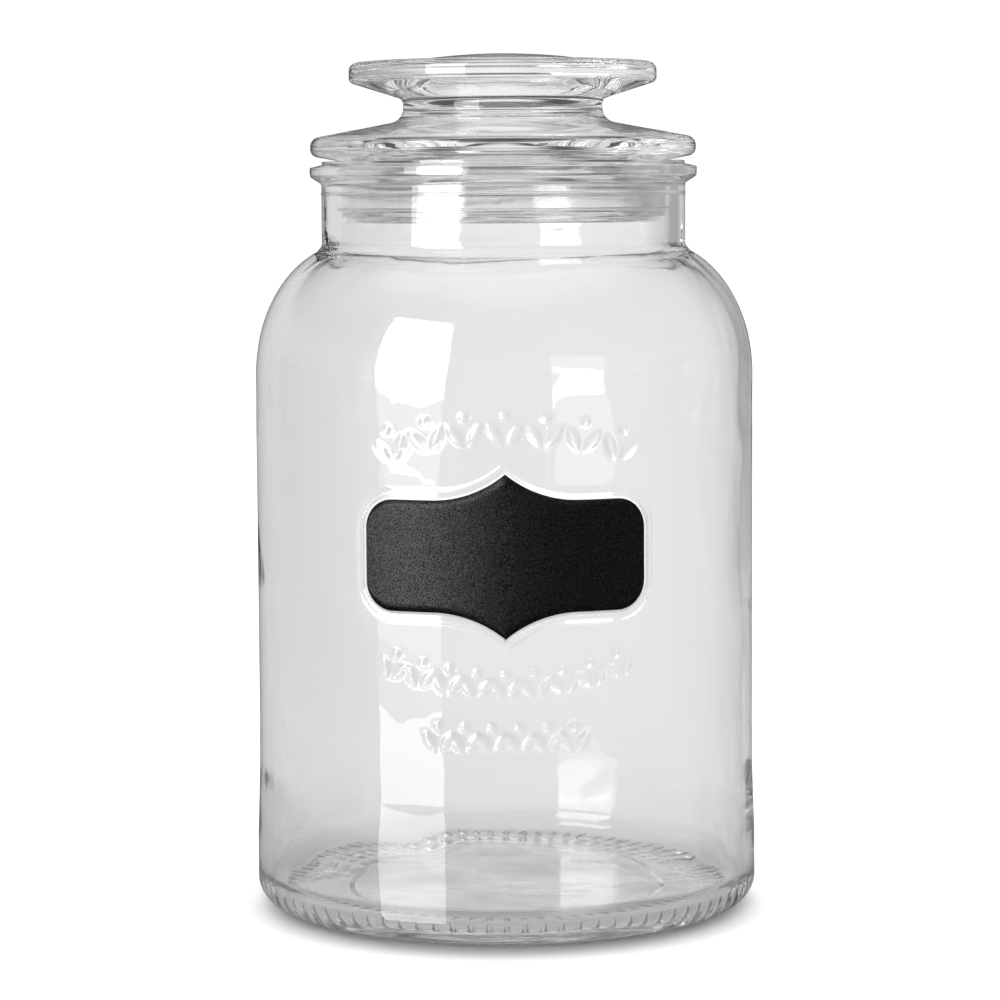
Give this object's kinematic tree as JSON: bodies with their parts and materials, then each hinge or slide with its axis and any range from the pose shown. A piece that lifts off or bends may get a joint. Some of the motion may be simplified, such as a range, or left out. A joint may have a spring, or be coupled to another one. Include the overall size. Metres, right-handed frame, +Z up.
{
  "type": "lidded glass canister",
  "caption": "Round glass storage jar with a rounded shoulder and short neck, a lift-off glass lid with a flat mushroom knob and a soft ring seal, and a chalkboard label on the front.",
  "frame": {"origin": "on the jar's axis, at the level the foot ring stands on", "axes": "+Z up along the jar's axis, -Y out of the front through the middle of the label, +X to the right seen from the front"},
  "size_m": [0.1516, 0.1514, 0.256],
  "materials": {
    "jar_glass": "clear moulded glass, slightly wavy",
    "lid_glass": "clear pressed glass",
    "seal_plastic": "soft, translucent, milky",
    "film_white": "smooth white film",
    "chalk_black": "fine grainy chalkboard coat"
  },
  "bodies": {
    "jar": {"jar": "jar_glass", "label_film": "film_white", "chalk_face": "chalk_black"},
    "seal": {"seal": "seal_plastic"},
    "lid": {"lid": "lid_glass"}
  },
  "joints": [
    {"name": "lid_lift", "type": "slide", "parent": "jar", "child": "seal", "axis": [0, 0, 1], "range_m": [0, 0.14]},
    {"name": "lid_turn", "type": "hinge", "parent": "seal", "child": "lid", "pos_m": [0, 0, 0.223], "axis": [0, 0, 1], "continuous": true}
  ]
}
